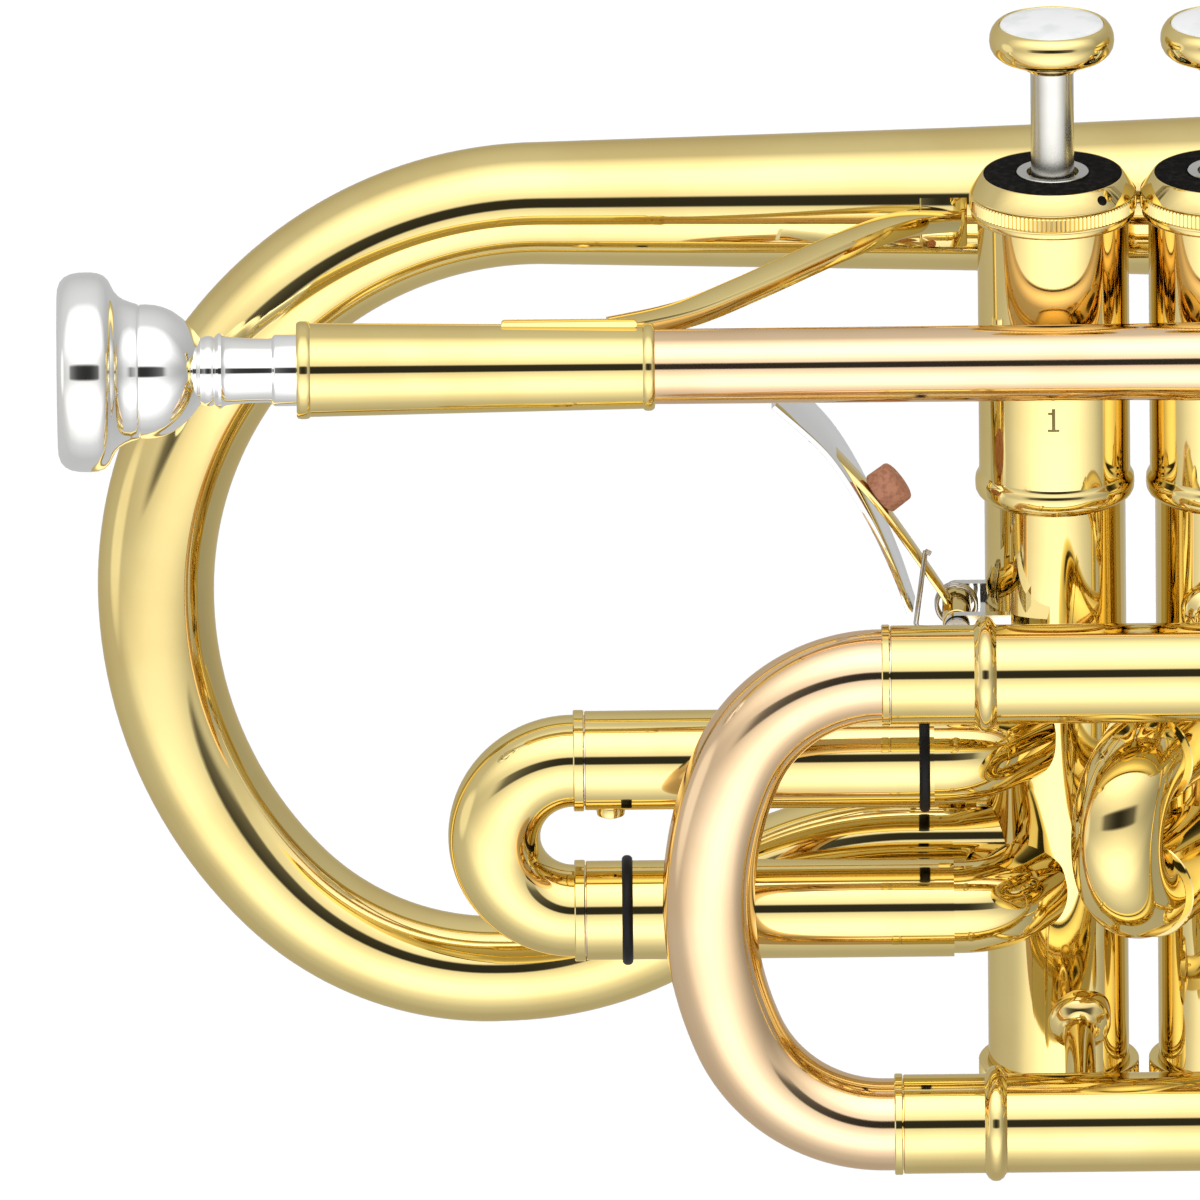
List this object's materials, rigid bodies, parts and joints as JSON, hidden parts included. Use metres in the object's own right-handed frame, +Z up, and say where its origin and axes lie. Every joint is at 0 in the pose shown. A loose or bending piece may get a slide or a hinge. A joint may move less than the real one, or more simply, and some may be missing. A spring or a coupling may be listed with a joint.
{
  "type": "cornet",
  "caption": "Valved brass cornet with conical crook, flared bell, piston valves, tuning and valve slides, thumb trigger and cup mouthpiece.",
  "frame": {"origin": "on the axis of the middle valve, 62.5 mm below the lower edge of its top cap", "axes": "+X towards the bell, +Y to the player's left, +Z up along the valves"},
  "size_m": [0.3518, 0.1276, 0.187],
  "materials": {
    "lacquered_brass": "clear lacquer over polished yellow brass",
    "rose_brass": "clear lacquer over polished rose brass",
    "silver_plate": "polished silver plate",
    "satin_nickel": "satin nickel",
    "bright_nickel": "drawn nickel silver",
    "pearl_inlay": "white pearl inlay",
    "black_felt": "pressed felt",
    "black_rubber": "matt rubber",
    "cork_bumper": "dense cork",
    "spring_steel": "drawn wire and turned steel"
  },
  "bodies": {
    "body": {"valve_casing_1": "lacquered_brass", "valve_casing_2": "lacquered_brass", "valve_casing_3": "lacquered_brass", "bead_rings": "lacquered_brass", "valve_link_tubes": "lacquered_brass", "top_caps": "lacquered_brass", "bottom_caps": "lacquered_brass", "cap_felts": "black_felt", "valve_guides": "spring_steel", "valve_spring_1": "spring_steel", "valve_spring_2": "spring_steel", "valve_spring_3": "spring_steel", "mouthpiece_receiver": "lacquered_brass", "leadpipe": "rose_brass", "front_bow": "lacquered_brass", "lower_tuning_sleeve": "lacquered_brass", "upper_tuning_sleeve": "lacquered_brass", "third_valve_inlet": "lacquered_brass", "bell_flare": "lacquered_brass", "bell_crook": "lacquered_brass", "bell_inlet_tube": "lacquered_brass", "first_slide_sleeves": "lacquered_brass", "second_slide_sleeves": "lacquered_brass", "third_slide_sleeves": "lacquered_brass", "receiver_strap": "lacquered_brass", "sleeve_braces": "lacquered_brass", "bell_braces": "lacquered_brass", "little_finger_hook": "lacquered_brass", "trigger_bracket": "bright_nickel", "water_key_saddle": "lacquered_brass", "water_key_spring": "spring_steel", "pivot_screws": "spring_steel", "first_slide_bumpers": "black_rubber"},
    "valve_1": {"piston_1": "satin_nickel", "button_1": "lacquered_brass", "pearl_1": "pearl_inlay"},
    "valve_2": {"piston_2": "satin_nickel", "button_2": "lacquered_brass", "pearl_2": "pearl_inlay"},
    "valve_3": {"piston_3": "satin_nickel", "button_3": "lacquered_brass", "pearl_3": "pearl_inlay"},
    "mouthpiece_body": {"mouthpiece": "silver_plate"},
    "tuning_slide": {"tuning_bow": "rose_brass", "tuning_legs": "bright_nickel", "tuning_ferrules": "lacquered_brass"},
    "first_slide": {"first_slide_bow": "lacquered_brass", "first_slide_legs": "bright_nickel", "trigger_rod": "lacquered_brass"},
    "trigger": {"trigger_lever": "lacquered_brass", "trigger_plate": "silver_plate", "trigger_cork": "cork_bumper", "trigger_spring": "spring_steel"},
    "second_slide": {"second_slide_bow": "lacquered_brass", "second_slide_legs": "bright_nickel"},
    "third_slide": {"third_slide_bow": "lacquered_brass", "third_slide_legs": "bright_nickel", "finger_ring": "lacquered_brass"},
    "water_key": {"water_key_lever": "lacquered_brass", "water_key_cork": "cork_bumper"}
  },
  "joints": [
    {"name": "valve_1_press", "type": "slide", "parent": "body", "child": "valve_1", "axis": [0, 0, -1], "range_m": [0, 0.0145], "stiffness_N_per_m": 150, "springref_m": -0.012, "deforming": ["valve_spring_1"]},
    {"name": "valve_2_press", "type": "slide", "parent": "body", "child": "valve_2", "axis": [0, 0, -1], "range_m": [0, 0.0145], "stiffness_N_per_m": 150, "springref_m": -0.012, "deforming": ["valve_spring_2"]},
    {"name": "valve_3_press", "type": "slide", "parent": "body", "child": "valve_3", "axis": [0, 0, -1], "range_m": [0, 0.0145], "stiffness_N_per_m": 150, "springref_m": -0.012, "deforming": ["valve_spring_3"]},
    {"name": "mouthpiece_pull", "type": "slide", "parent": "body", "child": "mouthpiece_body", "axis": [-1, 0, 0], "range_m": [0, 0.03]},
    {"name": "tuning_slide_pull", "type": "slide", "parent": "body", "child": "tuning_slide", "axis": [-1, 0, 0], "range_m": [0, 0.04]},
    {"name": "first_slide_throw", "type": "slide", "parent": "body", "child": "first_slide", "axis": [-1, 0, 0], "range_m": [0, 0.00789]},
    {"name": "trigger_swing", "type": "hinge", "parent": "body", "child": "trigger", "pos_m": [-0.0375, -0.004, 0.0051], "axis": [0, 1, 0], "range_deg": [0, 26], "stiffness_Nm_per_rad": 0.03, "springref_deg": -20.05},
    {"name": "second_slide_pull", "type": "slide", "parent": "body", "child": "second_slide", "axis": [-0.4384, -0.8988, 0], "range_m": [0, 0.012]},
    {"name": "third_slide_throw", "type": "slide", "parent": "body", "child": "third_slide", "axis": [1, 0, 0], "range_m": [0, 0.025]},
    {"name": "water_key_press", "type": "hinge", "parent": "body", "child": "water_key", "pos_m": [0.043, -0.034, -0.0702], "axis": [0, 1, 0], "range_deg": [0, 9], "stiffness_Nm_per_rad": 0.02, "springref_deg": -28.65}
  ],
  "couplings": [
    {"joint": "first_slide_throw", "follows": "trigger_swing", "m_per_rad": 0.017389}
  ]
}
